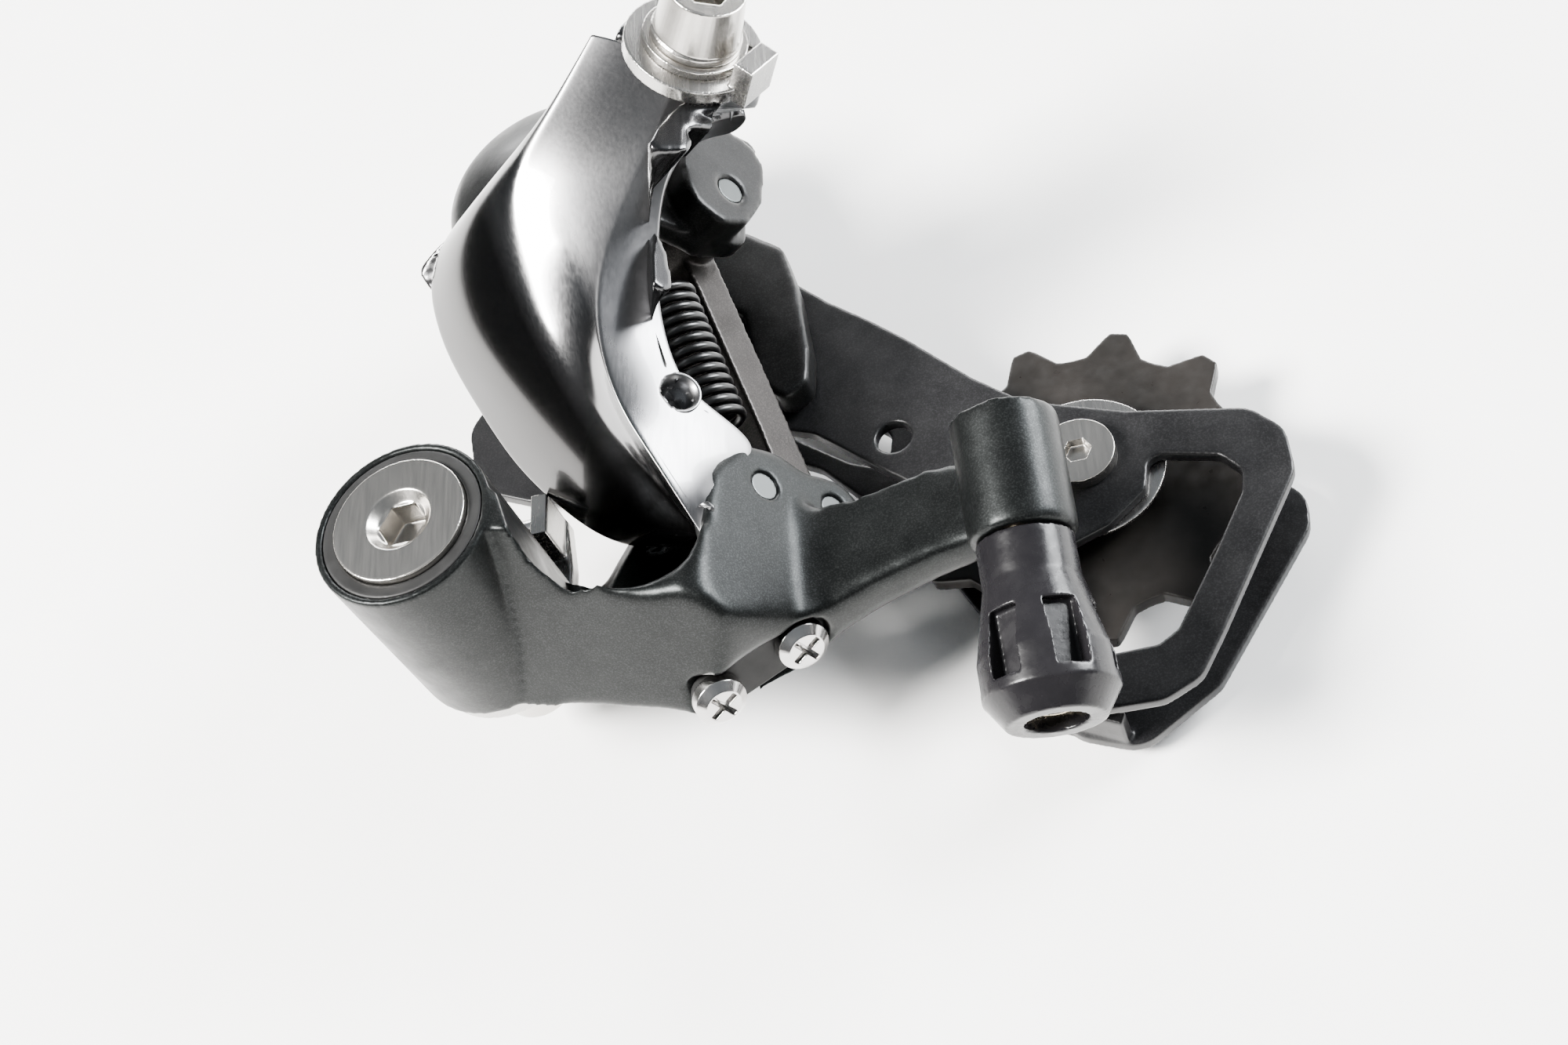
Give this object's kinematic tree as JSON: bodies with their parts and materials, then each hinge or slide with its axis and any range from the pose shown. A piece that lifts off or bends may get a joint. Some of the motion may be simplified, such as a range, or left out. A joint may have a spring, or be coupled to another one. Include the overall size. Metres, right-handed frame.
{
  "type": "rear derailleur",
  "caption": "Rear bicycle gear mechanism: a slant parallelogram linkage that carries a sprung chain cage with guide and tension pulleys.",
  "frame": {"origin": "centre of the hanger bolt's thread end at the outboard face of the frame hanger", "axes": "+Z outboard along the hanger bolt, +X down the bicycle, +Y towards the front of the bicycle"},
  "size_m": [0.1106, 0.1103, 0.0691],
  "materials": {
    "knuckle_paint": "dark grey-green metallic paint, satin",
    "cage_knuckle_paint": "dark grey metallic paint, satin",
    "link_polish": "polished, dark clear coat",
    "inner_link_paint": "grey-brown satin paint",
    "cage_black": "black satin paint",
    "steel_bright": "bright plated, satin",
    "steel_screw": "bright zinc plated",
    "steel_pin": "dull, painted over",
    "steel_pressed": "pressed sheet, satin",
    "bush_bronze": "sintered, dull",
    "seal_black": "matt",
    "spring_dark": "oiled, dark",
    "pulley_plastic": "moulded, slight sheen",
    "trim_plastic": "moulded, matt",
    "knob_plastic": "moulded, semi-gloss",
    "liner_metal": "plated, bright"
  },
  "bodies": {
    "hanger_axle": {"b_axle": "steel_bright", "stop_plate": "steel_pressed"},
    "b_knuckle": {"b_knuckle": "knuckle_paint", "b_bush": "bush_bronze", "b_seal": "seal_black", "b_spring": "spring_dark", "limit_plate": "trim_plastic", "pin_outer_b": "steel_pin", "pin_inner_b": "steel_pin", "barrel_liner": "liner_metal"},
    "high_limit": {"high_limit_screw": "steel_screw"},
    "low_limit": {"low_limit_screw": "steel_screw"},
    "b_tension": {"b_tension_screw": "steel_screw"},
    "barrel": {"barrel_knob": "knob_plastic"},
    "outer_link": {"outer_link": "link_polish", "clamp_plate": "steel_pressed", "clamp_washer": "steel_bright", "clamp_bolt": "steel_bright", "return_spring": "spring_dark"},
    "inner_link": {"inner_link": "inner_link_paint"},
    "p_knuckle": {"p_knuckle": "cage_knuckle_paint", "pin_outer_p": "steel_pin", "pin_inner_p": "steel_pin", "p_spring": "spring_dark"},
    "cage": {"cage_outer_plate": "cage_black", "cage_inner_plate": "cage_black", "cage_stop_pin": "steel_screw", "p_axle": "steel_bright", "guide_bush": "steel_pressed", "guide_bolt": "steel_bright", "guide_caps": "steel_pressed", "tension_bush": "steel_pressed", "tension_bolt": "steel_bright", "tension_caps": "steel_pressed"},
    "guide_pulley": {"guide_pulley": "pulley_plastic"},
    "tension_pulley": {"tension_pulley": "pulley_plastic"}
  },
  "joints": [
    {"name": "b_pivot", "type": "hinge", "parent": "hanger_axle", "child": "b_knuckle", "pos_m": [0, 0, 0.015], "axis": [0, 0, 1], "range_deg": [0, 30], "stiffness_Nm_per_rad": 1.2, "springref_deg": -34.38},
    {"name": "high_limit_turn", "type": "hinge", "parent": "b_knuckle", "child": "high_limit", "pos_m": [0.0383, -0.0106, 0.0049], "axis": [0.4301, -0.8703, 0.2401], "continuous": true},
    {"name": "low_limit_turn", "type": "hinge", "parent": "b_knuckle", "child": "low_limit", "pos_m": [0.0282, -0.0156, 0.0049], "axis": [0.4301, -0.8703, 0.2401], "continuous": true},
    {"name": "b_tension_turn", "type": "hinge", "parent": "b_knuckle", "child": "b_tension", "pos_m": [-0.008, 0.0124, 0.0056], "axis": [-1, 0, 0], "continuous": true},
    {"name": "barrel_turn", "type": "hinge", "parent": "b_knuckle", "child": "barrel", "pos_m": [0.0665, -0.01778, 0.01142], "axis": [0, -0.9781, -0.2079], "continuous": true},
    {"name": "link_swing", "type": "hinge", "parent": "b_knuckle", "child": "outer_link", "pos_m": [0.0289, 0.006, 0.00616], "axis": [-0.809, 0, -0.5878], "range_deg": [0, 64], "stiffness_Nm_per_rad": 0.5, "springref_deg": -51.57, "deforming": ["return_spring"]},
    {"name": "inner_link_swing", "type": "hinge", "parent": "b_knuckle", "child": "inner_link", "pos_m": [0.03489, 0.0065, -0.00209], "axis": [-0.809, 0, -0.5878], "range_deg": [0, 64]},
    {"name": "p_knuckle_level", "type": "hinge", "parent": "outer_link", "child": "p_knuckle", "pos_m": [0.01953, 0.04399, 0.02076], "axis": [-0.809, 0, -0.5878], "range_deg": [-64, 0]},
    {"name": "cage_swing", "type": "hinge", "parent": "p_knuckle", "child": "cage", "pos_m": [0.0105, 0.0635, 0], "axis": [0, 0, 1], "range_deg": [0, 100], "stiffness_Nm_per_rad": 0.35, "springref_deg": -51.57},
    {"name": "guide_pulley_spin", "type": "hinge", "parent": "cage", "child": "guide_pulley", "pos_m": [0.015, 0.049, -0.0092], "axis": [0, 0, 1], "continuous": true},
    {"name": "tension_pulley_spin", "type": "hinge", "parent": "cage", "child": "tension_pulley", "pos_m": [0.0725, 0.011, -0.0092], "axis": [0, 0, 1], "continuous": true}
  ],
  "couplings": [
    {"joint": "inner_link_swing", "follows": "link_swing", "ratio": 1},
    {"joint": "p_knuckle_level", "follows": "link_swing", "ratio": -1}
  ]
}
